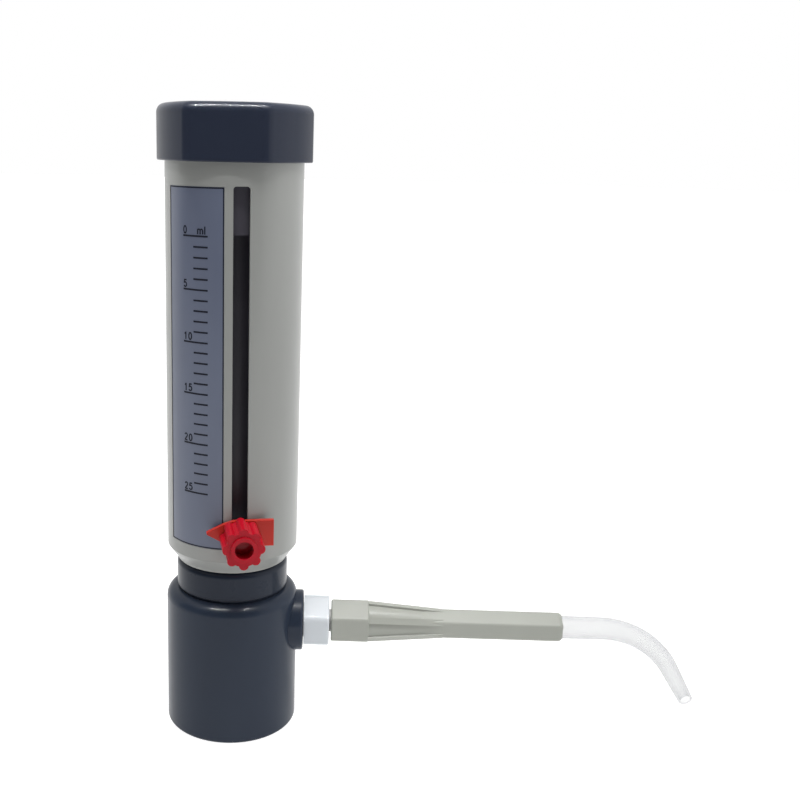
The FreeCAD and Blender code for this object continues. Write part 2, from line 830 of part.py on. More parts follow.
def discharge_arm():
    """Six-sided collar and bar, joined by a tapering core with six ribs."""
    collar_blank = hexagon("collar_blank", "collar_apothem", "collar_length", "collar_start")
    collar_sides = rounded("collar_sides", collar_blank, "collar_corner", is_upright)
    ends = (lies_at("collar_start"), lies_at("collar_start + collar_length"))
    collar = rounded(
        "collar", collar_sides, "collar_edge", lambda edge: ends[0](edge) or ends[1](edge)
    )
    bar_start = "collar_start + rib_root"
    bar_blank = hexagon("bar_blank", "bar_apothem", "bar_end - ( " + bar_start + " )", bar_start)
    bar_sides = rounded("bar_sides", bar_blank, "bar_corner", is_upright)
    bar = rounded("bar", bar_sides, "bar_end_edge", lies_at("bar_end"))
    core = DOC.addObject("Part::Cone", "arm_core")
    bind(core, "Radius1", "arm_core_radius")
    bind(core, "Radius2", "arm_core_end_radius")
    bind(core, "Height", "rib_length + rib_overlap")
    bind(core, "Placement.Base.z", "collar_start + collar_length - rib_overlap")
    rib = arm_rib()
    ribs = []
    for step in range(SIDES):
        copy = DOC.addObject("App::Link", "arm_rib_%d" % step)
        copy.LinkedObject = rib
        copy.Placement = FreeCAD.Placement(
            FreeCAD.Vector(0, 0, 0),
            FreeCAD.Rotation(FreeCAD.Vector(0, 0, 1), 360 / SIDES * step),
        )
        ribs.append(copy)
    solid = fuse("arm_solid", [collar, bar, core] + ribs)
    way_start = "collar_start - spill"
    hollow = fuse("arm_hollow", [
        cylinder("arm_way", "arm_bore", "bar_end - collar_start + 2 * spill", way_start),
        cylinder("arm_spigot_seat", "spigot_neck_radius + fit_gap",
                 "spigot_seat_depth + spill + fit_gap", way_start),
        cylinder("arm_jet_seat", "jet_radius + fit_gap", "jet_socket + spill",
                 "bar_end - jet_socket"),
    ])
    arm = cut("discharge_arm_shape", solid, hollow)
    on_arm_axis(arm, "arm_turn")
    keep(arm, "discharge_arm")


def jet_route(name):
    """Straight, bend and straight tail, in the XZ plane."""
    route = DOC.addObject("Sketcher::SketchObject", name)
    route.Placement = FreeCAD.Placement(
        FreeCAD.Vector(0, 0, 0), FreeCAD.Rotation(FreeCAD.Vector(1, 0, 0), 90)
    )
    start_x = number("bar_end - jet_socket + jet_end_gap")
    bend_x = number("bar_end + jet_straight")
    axis_z = number("arm_height")
    radius = number("jet_bend_radius")
    angle = math.radians(number("jet_bend_angle"))
    tail = number("jet_tail")
    start = FreeCAD.Vector(start_x, axis_z, 0)
    bend = FreeCAD.Vector(bend_x, axis_z, 0)
    centre = FreeCAD.Vector(bend_x, axis_z - radius, 0)
    leave = centre + FreeCAD.Vector(math.sin(angle), math.cos(angle), 0) * radius
    tip = leave + FreeCAD.Vector(math.cos(angle), -math.sin(angle), 0) * tail
    circle = Part.Circle(centre, FreeCAD.Vector(0, 0, 1), radius)
    arc = Part.ArcOfCircle(circle, math.pi / 2 - angle, math.pi / 2)
    route.addGeometry(Part.LineSegment(start, bend), False)
    route.addGeometry(arc, False)
    route.addGeometry(Part.LineSegment(leave, tip), False)
    route.addConstraint(Sketcher.Constraint("Tangent", 0, 2, 1, 2))
    route.addConstraint(Sketcher.Constraint("Tangent", 1, 1, 2, 1))
    route.addConstraint(Sketcher.Constraint("Horizontal", 0))
    sizes = [
        (Sketcher.Constraint("DistanceX", -1, 1, 0, 1, start_x), "bar_end - jet_socket + jet_end_gap"),
        (Sketcher.Constraint("DistanceY", -1, 1, 0, 1, axis_z), "arm_height"),
        (Sketcher.Constraint("DistanceX", -1, 1, 0, 2, bend_x), "bar_end + jet_straight"),
        (Sketcher.Constraint("Radius", 1, radius), "jet_bend_radius"),
        (Sketcher.Constraint("Distance", 2, tail), "jet_tail"),
    ]
    for constraint, expression in sizes:
        held = route.addConstraint(constraint)
        route.setExpression("Constraints[%d]" % held, cells(expression))
    drop = tip.y - leave.y
    held = route.addConstraint(Sketcher.Constraint("DistanceY", 2, 1, 2, 2, drop))
    route.setExpression(
        "Constraints[%d]" % held, cells("0 - jet_tail * sin( jet_bend_angle * 1 deg )")
    )
    DOC.recompute()
    return route


def jet_rings(name, radii):
    """Circles at the route's start, where the bend starts, and at the tip."""
    angle = math.radians(number("jet_bend_angle"))
    radius = number("jet_bend_radius")
    tail = number("jet_tail")
    axis_z = number("arm_height")
    bend_x = number("bar_end + jet_straight")
    tip = FreeCAD.Vector(
        bend_x + radius * math.sin(angle) + tail * math.cos(angle),
        0,
        axis_z - radius * (1 - math.cos(angle)) - tail * math.sin(angle),
    )
    places = [
        (FreeCAD.Vector(number("bar_end - jet_socket + jet_end_gap"), 0, axis_z), 90),
        (FreeCAD.Vector(bend_x, 0, axis_z), 90),
        (tip, 90 + number("jet_bend_angle")),
    ]
    rings = []
    for index, (centre, lean) in enumerate(places):
        ring = DOC.addObject("Part::Circle", "%s_%d" % (name, index))
        bind(ring, "Radius", radii[index])
        ring.Placement = FreeCAD.Placement(
            centre, FreeCAD.Rotation(FreeCAD.Vector(0, 1, 0), lean)
        )
        rings.append(ring)
    DOC.recompute()
    return rings


def jet_sweep(name, route, radii):
    sweep = DOC.addObject("Part::Sweep", name)
    sweep.Sections = jet_rings(name + "_ring", radii)
    sweep.Spine = (route, ["Edge1", "Edge2", "Edge3"])
    sweep.Solid = True
    sweep.Frenet = False
    DOC.recompute()
    return sweep


def is_tip(edge, whole):
    """True for the outer circle at the jet's lowest end."""
    size = edge.BoundBox
    at_end = size.ZMin < whole.ZMin + NEAR_END
    return at_end and edge.Length < 2 * math.pi * number("jet_tip_radius + fit_gap")


def discharge_jet():
    """Curved tapering tube of clear fluoropolymer."""
    route = jet_route("jet_route")
    outside = jet_sweep(
        "jet_outside", route, ["jet_radius", "jet_bend_tube_radius", "jet_tip_radius"]
    )
    inside = jet_sweep("jet_inside", route, [
        "jet_radius - jet_wall",
        "jet_bend_tube_radius - jet_wall",
        "jet_tip_radius - jet_tip_wall",
    ])
    tube = cut("jet_tube", outside, inside)
    whole = tube.Shape.BoundBox
    keep(rounded("discharge_jet_shape", tube, "jet_tip_edge", lambda edge: is_tip(edge, whole)),
         "discharge_jet")


def outlet_spring():
    """Closes the outlet ball on its seat; it pushes on the arm's spigot."""
    start = "outlet_start + outlet_ball_stand + ball_radius + spring_gap"
    helix = DOC.addObject("Part::Helix", "outlet_spring_route")
    bind(helix, "Radius", "spring_coil_radius")
    bind(helix, "Pitch", "spring_pitch")
    bind(helix, "Height", "outlet_end - plug_depth - spring_gap - ( " + start + " )")
    ring = DOC.addObject("Part::RegularPolygon", "outlet_spring_wire")
    ring.Polygon = WIRE_SIDES
    bind(ring, "Circumradius", "spring_wire_radius")
    ring.Placement = FreeCAD.Placement(
        FreeCAD.Vector(number("spring_coil_radius"), 0, 0),
        FreeCAD.Rotation(FreeCAD.Vector(1, 0, 0), 90),
    )
    DOC.recompute()
    spring = DOC.addObject("Part::Sweep", "outlet_spring_shape")
    spring.Sections = [ring]
    spring.Spine = (helix, ["Edge%d" % (i + 1) for i in range(len(helix.Shape.Edges))])
    spring.Solid = True
    spring.Frenet = True
    DOC.recompute()
    on_arm_axis(spring)
    bind(spring, "Placement.Base.x", start)
    keep(spring, "outlet_spring")


# ---------------------------------------------------------------- plunger


def plunger_sleeve():
    """Sliding sleeve with the pointer's slot and the label's recess."""
    body = DOC.addObject("PartDesign::Body", "plunger_sleeve_body")
    revolve(body, "sleeve_turning", [
        ("lip_bore", "sleeve_foot_height"),
        ("sleeve_foot_radius", "sleeve_foot_height"),
        ("sleeve_foot_radius + foot_edge", "sleeve_foot_height + foot_chamfer_low"),
        ("sleeve_radius", "sleeve_foot_height + foot_chamfer_high"),
        ("sleeve_radius", "cap_low"),
        ("spigot_radius", "cap_low"),
        ("spigot_radius", "sleeve_top_height"),
        ("spigot_radius - spigot_wall", "sleeve_top_height"),
        ("spigot_radius - spigot_wall", "cap_low - spigot_wall"),
        ("sleeve_bore", "cap_low - spigot_wall - spigot_slope"),
        ("sleeve_bore", "sleeve_foot_height + foot_lip"),
        ("lip_bore", "sleeve_foot_height + foot_lip - lip_slope"),
    ])
    slot = polygon_sketch(sketch_on(body, "slot_outline", "XZ_Plane"), [
        ("0 - slot_width / 2", "slot_low"),
        ("slot_width / 2", "slot_low"),
        ("slot_width / 2", "slot_high"),
        ("0 - slot_width / 2", "slot_high"),
    ])
    opening = body.newObject("PartDesign::Pocket", "sleeve_slot")
    opening.Profile = slot
    opening.Reversed = True
    bind(opening, "Length", "sleeve_radius + spill")
    DOC.recompute()
    half = number("slot_width / 2")
    round_edges(
        body,
        "slot_corners",
        opening.Shape.Edges,
        lambda edge: is_slot_corner(edge, half),
        "slot_corner",
    )
    turn_with_scale(body)
    recess = label_sector(
        "label_recess_tool", "sleeve_radius - label_recess", "sleeve_radius + spill", "0"
    )
    shape = cut("plunger_sleeve_shape", body, recess)
    keep(shape, "plunger_sleeve")


def is_slot_corner(edge, half):
    """Edges that run through the wall at the slot's four corners."""
    ends = edge.Vertexes
    if len(ends) != 2:
        return False
    step = ends[1].Point - ends[0].Point
    runs_outward = abs(step.y) > ALONG * step.Length and step.Length > WALL_EDGE
    return runs_outward and abs(abs(ends[0].Point.x) - half) < SAME and ends[0].Point.y < 0


def label_sector(name, inner, outer, inset):
    """The part of a ring between the label's two side angles and its two heights."""
    first = number("label_first_angle + scale_turn")
    return cut(
        name + "_ring",
        sector_cylinder(name + "_outer", outer, inset, first),
        cylinder(name + "_inner", inner, "label_high - label_low + 2 * spill", "label_low - spill"),
    )


def sector_cylinder(name, radius, inset, first):
    """A slice of a cylinder over the label's height; first is counted from -Y."""
    tool = DOC.addObject("Part::Cylinder", name)
    bind(tool, "Radius", radius)
    side_gap = math.degrees(number(inset) / number("sleeve_radius"))
    bind(tool, "Height", "label_high - label_low - 2 * " + inset)
    bind(tool, "Angle", "label_last_angle - label_first_angle - %.6f" % (2 * side_gap))
    tool.Placement = FreeCAD.Placement(
        FreeCAD.Vector(0, 0, number("label_low + " + inset)),
        FreeCAD.Rotation(FreeCAD.Vector(0, 0, 1), first - 90 + side_gap),
    )
    DOC.recompute()
    return tool


def scale_label():
    keep(
        label_sector(
            "scale_label_shape",
            "sleeve_radius - label_recess",
            "sleeve_radius - label_recess + label_thick",
            "label_inset",
        ),
        "scale_label",
    )


def guide_bush():
    """Slippery ring in the sleeve's foot that runs on the jacket."""
    turned_body("guide_bush", [
        ("jacket_radius + free_gap", "sleeve_foot_height + bush_inset"),
        ("lip_bore - fit_gap", "sleeve_foot_height + bush_inset"),
        ("lip_bore - fit_gap", "sleeve_foot_height + foot_lip - lip_slope - bush_inset"),
        ("jacket_radius + free_gap", "sleeve_foot_height + foot_lip - lip_slope - bush_inset"),
    ])


def plunger_cap():
    """Six-sided cap with bulging sides; the user lifts and presses the plunger by it."""
    sides = []
    for index in range(SIDES):
        side = cylinder("cap_side_%d" % index, "cap_side_radius", "cap_high - cap_low", "cap_low")
        angle = 2 * math.pi * index / SIDES
        offset = "( cap_side_radius - cap_apothem )"
        bind(side, "Placement.Base.x", offset + " * %.12f" % math.cos(angle))
        bind(side, "Placement.Base.y", offset + " * %.12f" % math.sin(angle))
        sides.append(side)
    blank = common("cap_blank", sides)
    corners = rounded("cap_corners", blank, "cap_corner", is_upright)
    top = rounded("cap_top_rounded", corners, "cap_top_edge", lies_at("cap_high"))
    low = rounded("cap_low_rounded", top, "cap_low_edge", lies_at("cap_low"))
    hollow = fuse("cap_hollow", [
        cylinder("cap_cavity", "cap_bore", "cap_ceiling - cap_low + spill", "cap_low - spill"),
        cylinder("cap_disc_seat", "cap_disc_radius + fit_gap", "cap_disc_thick + spill",
                 "cap_high - cap_disc_thick"),
        cylinder("cap_screw_hole", "screw_radius + screw_hole_gap", "cap_roof + spill",
                 "cap_ceiling - spill"),
        cylinder("cap_screw_seat", "screw_head_radius + screw_hole_gap",
                 "screw_head_thick + spill", "screw_head_low"),
    ])
    cap = cut("plunger_cap_shape", low, hollow)
    cap.Placement = FreeCAD.Placement(
        FreeCAD.Vector(0, 0, 0),
        FreeCAD.Rotation(FreeCAD.Vector(0, 0, 1), number("cap_turn") - 90),
    )
    keep(cap, "plunger_cap")


def cap_disc():
    """Thin cover over the screw, let into the cap's top."""
    turned_body("cap_disc", [
        ("0", "cap_high - cap_disc_thick"),
        ("cap_disc_radius", "cap_high - cap_disc_thick"),
        ("cap_disc_radius", "cap_high - cap_disc_gap"),
        ("0", "cap_high - cap_disc_gap"),
    ])


def cap_screw():
    """Holds the piston rod to the cap."""
    turned_body("cap_screw", [
        ("0", "screw_head_low - screw_length"),
        ("screw_radius", "screw_head_low - screw_length"),
        ("screw_radius", "screw_head_low"),
        ("screw_head_radius", "screw_head_low"),
        ("screw_head_radius", "screw_head_low + screw_head_thick"),
        ("0", "screw_head_low + screw_head_thick"),
    ])


def piston_rod():
    """Rod with a wide flange clamped between the cap and the sleeve's top."""
    flange_low = "cap_ceiling - rod_flange_thick"
    tap_low = "screw_head_low - screw_length - spill"
    turned_body("piston_rod", [
        ("0", "rod_low"),
        ("rod_radius", "rod_low"),
        ("rod_radius", flange_low + " - rod_flange_slope"),
        ("rod_radius + rod_flange_slope", flange_low),
        ("rod_flange_radius", flange_low),
        ("rod_flange_radius", "cap_ceiling"),
        ("screw_radius + fit_gap", "cap_ceiling"),
        ("screw_radius + fit_gap", tap_low),
        ("0", tap_low),
    ])


def piston_head():
    """Grooved head on the rod's end, a sliding fit in the glass."""
    land = "bore_radius - fit_gap"
    floor = "bore_radius - 2 * seal_section"
    outline = [
        ("0", "head_low"),
        ("bore_radius - head_nose", "head_low"),
        (land, "head_low + head_chamfer"),
    ]
    for seal in ("first_seal", "second_seal"):
        low = "head_low + " + seal
        high = low + " + 2 * seal_section"
        outline += [(land, low), (floor, low), (floor, high), (land, high)]
    outline += [(land, "rod_low"), ("0", "rod_low")]
    turned_body("piston_head", outline)


def piston_seals():
    """Two sealing rings in the head's grooves."""
    rings = []
    for seal in ("first_seal", "second_seal"):
        ring = DOC.addObject("Part::Torus", "piston_" + seal)
        bind(ring, "Radius1", "bore_radius - seal_section")
        bind(ring, "Radius2", "seal_section - seal_clearance")
        bind(ring, "Placement.Base.z", "head_low + seal_section + " + seal)
        rings.append(ring)
    pair = DOC.addObject("Part::Compound", "piston_seals_shape")
    pair.Links = rings
    DOC.recompute()
    keep(pair, "piston_seals")


# ---------------------------------------------------------------- pointer


def pointer_slider():
    """Flat plate with an arrow and a wing, and a guide block that fills the slot's width."""
    body = DOC.addObject("PartDesign::Body", "pointer_slider_body")
    point = "rest_mark_height + arrow_height"
    arrow = polygon_sketch(sketch_on(body, "plate_outline", "XZ_Plane"), [
        ("arrow_tip", point + " - arrow_tip_blunt"),
        ("plate_root", point + " - root_low"),
        ("plate_root + root_step", "rest_mark_height + plate_low"),
        ("plate_right", "rest_mark_height + plate_low"),
        ("plate_right", "rest_mark_height + plate_high"),
        ("plate_shoulder", "rest_mark_height + plate_high"),
        ("plate_root", point + " + root_high"),
        ("arrow_tip", point + " + arrow_tip_blunt"),
    ])
    bind(arrow, "AttachmentOffset.Base.z", "sleeve_radius + free_gap")
    plate = body.newObject("PartDesign::Pad", "plate_pad")
    plate.Profile = arrow
    bind(plate, "Length", "plate_thick")
    DOC.recompute()
    guide = polygon_sketch(sketch_on(body, "guide_outline", "XZ_Plane"), [
        ("0 - guide_width / 2", "rest_mark_height - guide_height / 2"),
        ("guide_width / 2", "rest_mark_height - guide_height / 2"),
        ("guide_width / 2", "rest_mark_height + guide_height / 2"),
        ("0 - guide_width / 2", "rest_mark_height + guide_height / 2"),
    ])
    bind(guide, "AttachmentOffset.Base.z", "sleeve_bore + fit_gap")
    block = body.newObject("PartDesign::Pad", "guide_pad")
    block.Profile = guide
    bind(block, "Length", "sleeve_wall + free_gap")
    DOC.recompute()
    hole_outline = sketch_on(body, "stud_hole_outline", "XZ_Plane")
    circle_sketch(hole_outline, "0", "rest_mark_height", "stud_radius + fit_gap")
    bind(hole_outline, "AttachmentOffset.Base.z", "sleeve_bore - spill")
    hole = body.newObject("PartDesign::Pocket", "stud_hole")
    hole.Profile = hole_outline
    hole.Reversed = True
    bind(hole, "Length", "sleeve_wall + plate_thick + 3 * spill")
    DOC.recompute()
    turn_with_scale(body)
    keep(body, "pointer_slider")


def pointer_clamp():
    """Tapped block inside the sleeve; tightening the knob grips the sleeve's wall."""
    blank = box(
        "clamp_blank",
        ("clamp_width", "sleeve_bore - clamp_inner", "clamp_height"),
        ("0 - clamp_width / 2", "0 - sleeve_bore", "rest_mark_height - clamp_height / 2"),
    )
    inside = cylinder("clamp_limit", "sleeve_bore - free_gap", "clamp_height",
                      "rest_mark_height - clamp_height / 2")
    curved = common("clamp_curved", [blank, inside])
    bore = sideways_cylinder("clamp_bore", "stud_radius + fit_gap", "clamp_inner - spill",
                             "sleeve_bore", "rest_mark_height")
    block = cut("pointer_clamp_shape", curved, bore)
    turn_with_scale(block)
    keep(block, "pointer_clamp")


def pointer_knob():
    """Fluted thumb knob with a deep hole and a raised glossy rim, on a clamping stud."""
    core = sideways_cylinder("knob_core", "knob_core_radius", "knob_start", "knob_length",
                             "rest_mark_height")
    pieces = [core]
    count = int(number("knob_lobes"))
    for index in range(count):
        angle = math.radians(360.0 * index / count - 90)
        lobe = sideways_cylinder("knob_lobe_%d" % index, "knob_lobe_radius", "knob_start",
                                 "knob_length", "rest_mark_height")
        reach = "( knob_radius - knob_lobe_radius )"
        bind(lobe, "Placement.Base.x", reach + " * %.12f" % math.cos(angle))
        bind(lobe, "Placement.Base.z",
             "rest_mark_height + " + reach + " * %.12f" % math.sin(angle))
        pieces.append(lobe)
    pieces.append(sideways_cylinder(
        "knob_rim", "knob_rim_radius", "knob_start + knob_rim_root",
        "knob_length - knob_rim_root + knob_rim_length",
        "rest_mark_height"))
    pieces.append(sideways_cylinder(
        "knob_stud", "stud_radius", "clamp_inner + stud_end_gap", "knob_start - clamp_inner",
        "rest_mark_height"))
    solid = fuse("knob_solid", pieces)
    hole = sideways_cylinder(
        "knob_hole", "knob_hole_radius",
        "knob_start + knob_length + knob_rim_length - knob_hole_depth",
        "knob_hole_depth + spill", "rest_mark_height")
    knob = cut("pointer_knob_shape", solid, hole)
    turn_with_scale(knob)
    keep(knob, "pointer_knob")


def build():
    fill_sheet()
    base_housing()
    bottle_gasket()
    valve_block()
    inlet_valve_body()
    inlet_ball()
    inlet_ball_cage()
    cylinder_seal()
    glass_cylinder()
    cylinder_jacket()
    neck_ring()
    stop_ring()
    outlet_valve_body()
    outlet_seal()
    outlet_ball()
    outlet_spring()
    union_nut()
    arm_spigot()
    discharge_arm()
    discharge_jet()
    plunger_sleeve()
    scale_label()
    guide_bush()
    plunger_cap()
    cap_disc()
    cap_screw()
    piston_rod()
    piston_head()
    piston_seals()
    pointer_slider()
    pointer_clamp()
    pointer_knob()


def export():
    DOC.recompute()
    for thing in DOC.Objects:
        if "Invalid" in thing.State or "Error" in thing.State:
            raise RuntimeError("%s: %s" % (thing.Name, thing.State))
    os.makedirs("parts", exist_ok=True)
    for node in NODES:
        if node.Shape.isNull() or not node.Shape.isValid():
            raise RuntimeError("bad shape: " + node.Label)
        node.Shape.exportStep("parts/%s.step" % node.Label)
        print("%-20s %9.1f mm3  solids %d" % (
            node.Label, node.Shape.Volume, len(node.Shape.Solids)))


build()
export()
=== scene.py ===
import bpy
import bmesh
import json
import math
from mathutils import Matrix, Vector


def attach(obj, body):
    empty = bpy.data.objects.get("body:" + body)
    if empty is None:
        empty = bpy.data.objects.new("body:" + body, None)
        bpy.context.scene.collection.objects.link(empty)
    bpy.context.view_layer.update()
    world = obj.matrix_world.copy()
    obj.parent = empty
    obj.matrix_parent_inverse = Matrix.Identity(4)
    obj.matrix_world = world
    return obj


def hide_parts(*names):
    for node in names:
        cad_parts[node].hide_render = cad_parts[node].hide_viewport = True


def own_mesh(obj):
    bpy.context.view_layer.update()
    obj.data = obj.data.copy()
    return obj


MM = 0.001

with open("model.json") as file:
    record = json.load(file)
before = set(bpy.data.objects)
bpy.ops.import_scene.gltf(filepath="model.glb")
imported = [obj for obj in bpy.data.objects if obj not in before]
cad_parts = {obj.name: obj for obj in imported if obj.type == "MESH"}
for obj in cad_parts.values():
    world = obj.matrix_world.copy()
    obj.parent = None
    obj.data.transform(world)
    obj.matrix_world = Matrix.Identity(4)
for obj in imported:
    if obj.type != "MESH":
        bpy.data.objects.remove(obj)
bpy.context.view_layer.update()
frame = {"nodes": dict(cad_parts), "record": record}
NODES = frame["nodes"]


# ---------------------------------------------------------------- camera and light


def make_camera():
    """Stands a little to the right of the front, at the height of the sleeve's top."""
    turn = math.radians(5.0)
    down = 0.2378
    right_turn = 0.066
    roll = 0.0212
    away = 404.04 * MM
    height = 235.65 * MM
    forward = Vector((
        math.sin(right_turn) * math.cos(down),
        math.cos(right_turn) * math.cos(down),
        -math.sin(down),
    ))
    level_right = Vector((math.cos(right_turn), -math.sin(right_turn), 0.0))
    level_up = level_right.cross(forward)
    right = level_right * math.cos(roll) + level_up * math.sin(roll)
    up = level_up * math.cos(roll) - level_right * math.sin(roll)
    axes = Matrix((right, up, -forward)).transposed().to_4x4()
    place = Matrix.Translation(Vector((0.0, -away, height)))
    data = bpy.data.cameras.new("camera")
    data.lens = 46.63
    data.sensor_width = 36.0
    data.shift_x = 0.125
    data.clip_start = 0.01
    camera = bpy.data.objects.new("camera", data)
    bpy.context.scene.collection.objects.link(camera)
    camera.matrix_world = Matrix.Rotation(turn, 4, "Z") @ place @ axes
    bpy.context.scene.camera = camera


def area_light(name, place, aim, size, power):
    data = bpy.data.lights.new(name, "AREA")
    data.shape = "RECTANGLE"
    data.size = size[0]
    data.size_y = size[1]
    data.energy = power
    light = bpy.data.objects.new(name, data)
    bpy.context.scene.collection.objects.link(light)
    direction = Vector(aim) - Vector(place)
    light.location = place
    light.rotation_euler = direction.to_track_quat("-Z", "Y").to_euler()
    return light


TENT_MIDDLE = (0.0, 0.0, 0.12)
LAMP_PITCH = 0.021  # between neighbours in a row of lamps
LAMP_HEIGHT = 0.62


def lamp_row(name, count, depth, size, power):
    """Small lamps in a row over the front, aimed at the dispenser."""
    lamps = []
    for step in range(count):
        across = (step - (count - 1) / 2) * LAMP_PITCH
        lamp = area_light(
            "%s_%d" % (name, step),
            (across, depth, LAMP_HEIGHT),
            (across * 0.5, 0.0, 0.2),
            (size, size),
            power,
        )
        lamps.append(lamp)
    return lamps


def make_lights():
    """A white light tent: bright round the sides and overhead, darker from the front."""
    world = bpy.data.worlds.new("tent")
    bpy.context.scene.world = world
    world.use_nodes = True
    background = world.node_tree.nodes["Background"]
    background.inputs["Color"].default_value = (1.0, 1.0, 1.0, 1.0)
    background.inputs["Strength"].default_value = 1.0
    area_light("tent_left", (-1.0, -0.1, 0.45), TENT_MIDDLE, (0.9, 1.2), 0.1)
    area_light("tent_right", (1.1, 0.0, 0.45), TENT_MIDDLE, (0.9, 1.2), 0.9)
    area_light("tent_top", (0.1, 0.1, 1.1), TENT_MIDDLE, (1.0, 0.8), 0.4)
    # two rows light the front, as on a light tent's rail
    lamp_row("rail_lamp_0", 20, -0.08, 0.005, 0.07)
    lamp_row("rail_lamp_1", 20, -0.14, 0.005, 0.07)
    # a third row shows only as the fine glints along rounded edges
    for lamp in lamp_row("glint_lamp", 24, -0.145, 0.004, 0.3):
        lamp.visible_diffuse = False


def front_card():
    """Bent grey card behind the camera; it keeps the front of the dark parts dark."""
    mesh = bpy.data.meshes.new("front_card")
    outline = ((-1.1, 0.1), (-1.1, -0.5), (-0.8, -0.75), (1.0, -0.75))
    high = 1.0
    points = [(x, y, 0.0) for x, y in outline] + [(x, y, high) for x, y in outline]
    count = len(outline)
    faces = [(i, i + 1, count + i + 1, count + i) for i in range(count - 1)]
    mesh.from_pydata(points, [], faces)
    card = bpy.data.objects.new("front_card", mesh)
    bpy.context.scene.collection.objects.link(card)
    card.visible_camera = False
    mesh.materials.append(stage_paint("front_card", (0.06, 0.06, 0.065)))


def stage_paint(name, colour, glow=0.0):
    material = bpy.data.materials.new(name)
    material.use_nodes = True
    shader = material.node_tree.nodes["Principled BSDF"]
    shader.inputs["Base Color"].default_value = (*colour, 1.0)
    shader.inputs["Roughness"].default_value = 0.9
    shader.inputs["Specular IOR Level"].default_value = 0.2
    shader.inputs["Emission Color"].default_value = (1.0, 1.0, 1.0, 1.0)
    shader.inputs["Emission Strength"].default_value = glow
    return material


def make_floor():
    """Plain pale floor that the dispenser stands on; it gives off some light of its own."""
    mesh = bpy.data.meshes.new("floor")
    points = []
    radius = 8.0
    count = 64
    level = -0.0002
    for step in range(count):
        angle = 2 * math.pi * step / count
        points.append((radius * math.cos(angle), radius * math.sin(angle), level))
    mesh.from_pydata(points, [], [tuple(range(count))])
    floor = bpy.data.objects.new("floor", mesh)
    bpy.context.scene.collection.objects.link(floor)
    mesh.materials.append(stage_paint("floor", (0.4, 0.4, 0.4), glow=0.9))


# ---------------------------------------------------------------- materials


class Nodes:
    """Short way to add and join nodes in one material."""

    def __init__(self, name):
        self.material = bpy.data.materials.new(name)
        self.material.use_nodes = True
        self.tree = self.material.node_tree
        self.shader = self.tree.nodes["Principled BSDF"]
        place = self.tree.nodes.new("ShaderNodeTexCoord")
        self.place = place.outputs["Object"]

    def add(self, kind, **settings):
        node = self.tree.nodes.new(kind)
        for key, value in settings.items():
            setattr(node, key, value)
        return node

    def join(self, start, end):
        self.tree.links.new(start, end)

    def stretched(self, scale):
        """Object coordinates, in metres, multiplied by scale."""
        mapping = self.add("ShaderNodeMapping")
        mapping.inputs["Scale"].default_value = scale
        self.join(self.place, mapping.inputs["Vector"])
        return mapping.outputs["Vector"]

    def noise(self, scale, detail=3.0, rough=0.5, along=None):
        node = self.add("ShaderNodeTexNoise")
        node.inputs["Scale"].default_value = scale
        node.inputs["Detail"].default_value = detail
        node.inputs["Roughness"].default_value = rough
        self.join(along or self.place, node.inputs["Vector"])
        return node.outputs["Fac"]

    def ramp(self, value, low, high, colour_low, colour_high):
        node = self.add("ShaderNodeValToRGB")
        node.color_ramp.elements[0].position = low
        node.color_ramp.elements[0].color = (*colour_low, 1.0)
        node.color_ramp.elements[1].position = high
        node.color_ramp.elements[1].color = (*colour_high, 1.0)
        self.join(value, node.inputs["Fac"])
        return node.outputs["Color"]

    def span(self, value, low, high, to_low, to_high):
        node = self.add("ShaderNodeMapRange")
        node.inputs["From Min"].default_value = low
        node.inputs["From Max"].default_value = high
        node.inputs["To Min"].default_value = to_low
        node.inputs["To Max"].default_value = to_high
        self.join(value, node.inputs["Value"])
        return node.outputs["Result"]

    def bump(self, height, depth, before=None):
        node = self.add("ShaderNodeBump")
        node.inputs["Strength"].default_value = 1.0
        node.inputs["Distance"].default_value = depth
        self.join(height, node.inputs["Height"])
        if before is not None:
            self.join(before, node.inputs["Normal"])
        return node.outputs["Normal"]


def shade(colour, factor):
    return tuple(min(1.0, max(0.0, channel * factor)) for channel in colour)


MIDDLE = (0.3, 0.7)  # where most of a noise's values lie
FLOW_SCALE = 35.0
PATCH_SCALE = 90.0
STREAK_SCALE = 300.0
GRAIN_DEPTH = 0.0000015
STREAK_DEPTH = 0.000004


def moulded_plastic(name, colour, gloss, grain=1400.0, streaks=False, spread=0.06, shine=0.4):
    """Injection-moulded plastic: faint flow marks, fine surface grain, uneven gloss."""
    n = Nodes(name)
    flow = n.noise(FLOW_SCALE, detail=4.0, along=n.stretched((1.0, 1.0, 0.25)))
    tint = n.ramp(flow, *MIDDLE, shade(colour, 1.0 - spread), shade(colour, 1.0 + spread))
    n.join(tint, n.shader.inputs["Base Color"])
    patches = n.noise(PATCH_SCALE, detail=5.0, rough=0.6)
    n.join(n.span(patches, *MIDDLE, gloss - 0.02, gloss + 0.03), n.shader.inputs["Roughness"])
    normal = n.bump(n.noise(grain, detail=2.0), GRAIN_DEPTH)
    if streaks:
        drawn = n.noise(STREAK_SCALE, detail=1.0, along=n.stretched((1.0, 1.0, 0.01)))
        normal = n.bump(drawn, STREAK_DEPTH, normal)
    n.join(normal, n.shader.inputs["Normal"])
    n.shader.inputs["IOR"].default_value = 1.49
    n.shader.inputs["Specular IOR Level"].default_value = shine
    return n


def lacquer(n, amount, gloss):
    """The thin glossy skin that a polished mould leaves."""
    n.shader.inputs["Coat Weight"].default_value = amount
    n.shader.inputs["Coat Roughness"].default_value = gloss


def dark_housing():
    n = moulded_plastic("dark_housing", (0.021, 0.029, 0.046), 0.3, streaks=True, shine=0.06)
    lacquer(n, 0.2, 0.02)
    return n.material


